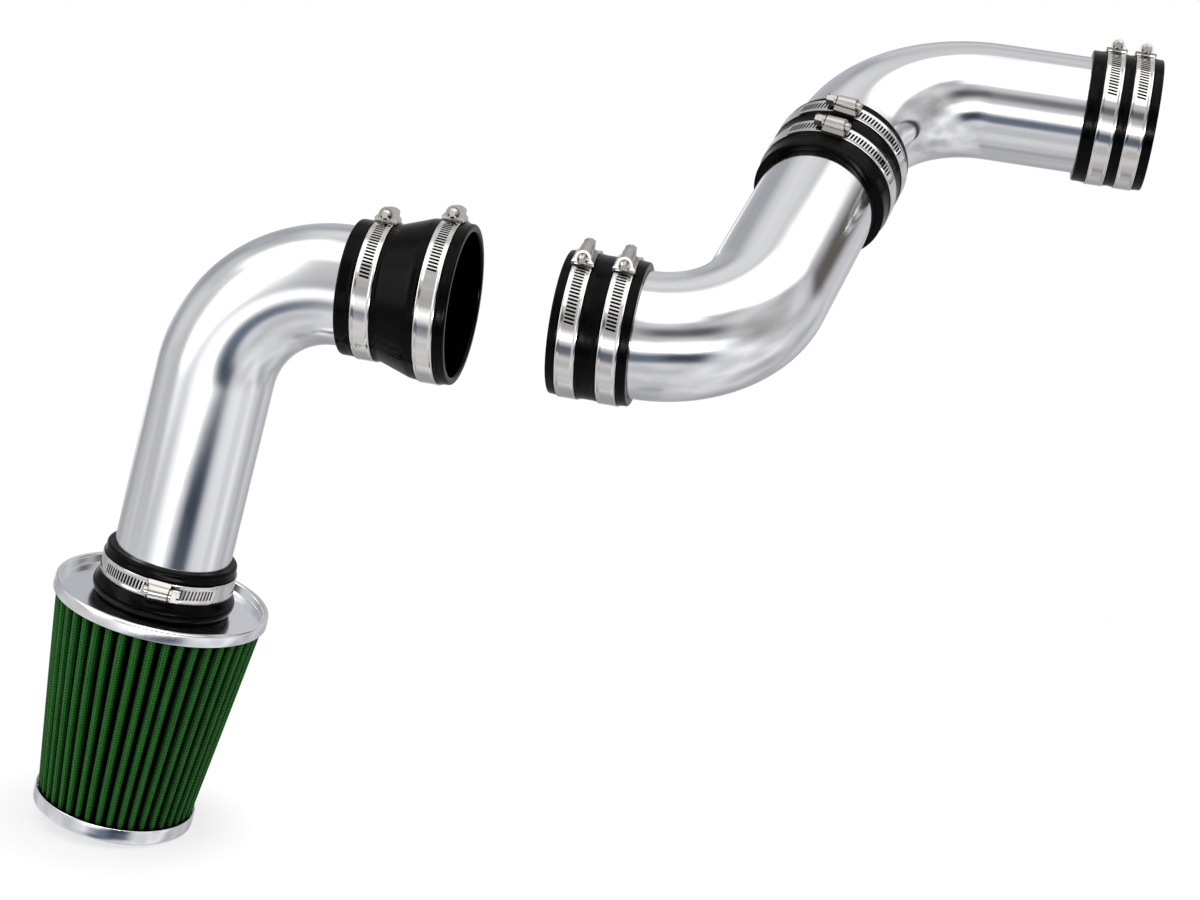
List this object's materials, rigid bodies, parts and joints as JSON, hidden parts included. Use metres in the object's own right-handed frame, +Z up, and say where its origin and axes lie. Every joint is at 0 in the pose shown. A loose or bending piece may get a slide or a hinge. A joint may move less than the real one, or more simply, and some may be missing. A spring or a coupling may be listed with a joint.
{
  "type": "cold air intake pipe",
  "caption": "Two-section cold air intake: a cone filter on a polished elbow with a reducing hose, and an S-shaped polished pipe with clamped hoses at its joint and ends.",
  "frame": {"origin": "centre of the throttle hose's mouth", "axes": "+X along the throttle hose's bore, out of its mouth; +Z up as fitted, with the filter hanging down; the open view is from -Y"},
  "size_m": [0.6584, 0.3684, 0.5973],
  "materials": {
    "polished_tube": "polished",
    "bright_cap": "bright",
    "stainless_clamp": "satin",
    "black_rubber": "matte",
    "green_gauze": "oiled gauze"
  },
  "bodies": {
    "root": {"elbow_tube": "polished_tube", "filter_bottom_cap": "bright_cap", "filter_neck": "black_rubber", "filter_pleats": "green_gauze", "filter_top_cap": "bright_cap", "joint_clamp_a_band": "stainless_clamp", "joint_clamp_a_housing": "stainless_clamp", "joint_clamp_a_screw": "stainless_clamp", "joint_clamp_b_band": "stainless_clamp", "joint_clamp_b_housing": "stainless_clamp", "joint_clamp_b_screw": "stainless_clamp", "joint_hose": "black_rubber", "lower_tube": "polished_tube", "meter_clamp_a_band": "stainless_clamp", "meter_clamp_a_housing": "stainless_clamp", "meter_clamp_a_screw": "stainless_clamp", "meter_clamp_b_band": "stainless_clamp", "meter_clamp_b_housing": "stainless_clamp", "meter_clamp_b_screw": "stainless_clamp", "meter_hose": "black_rubber", "neck_clamp_band": "stainless_clamp", "neck_clamp_housing": "stainless_clamp", "neck_clamp_screw": "stainless_clamp", "reducer_clamp_mouth_band": "stainless_clamp", "reducer_clamp_mouth_housing": "stainless_clamp", "reducer_clamp_mouth_screw": "stainless_clamp", "reducer_clamp_small_band": "stainless_clamp", "reducer_clamp_small_housing": "stainless_clamp", "reducer_clamp_small_screw": "stainless_clamp", "reducer_hose": "black_rubber", "throttle_clamp_a_band": "stainless_clamp", "throttle_clamp_a_housing": "stainless_clamp", "throttle_clamp_a_screw": "stainless_clamp", "throttle_clamp_b_band": "stainless_clamp", "throttle_clamp_b_housing": "stainless_clamp", "throttle_clamp_b_screw": "stainless_clamp", "throttle_hose": "black_rubber", "upper_tube": "polished_tube"}
  },
  "joints": []
}
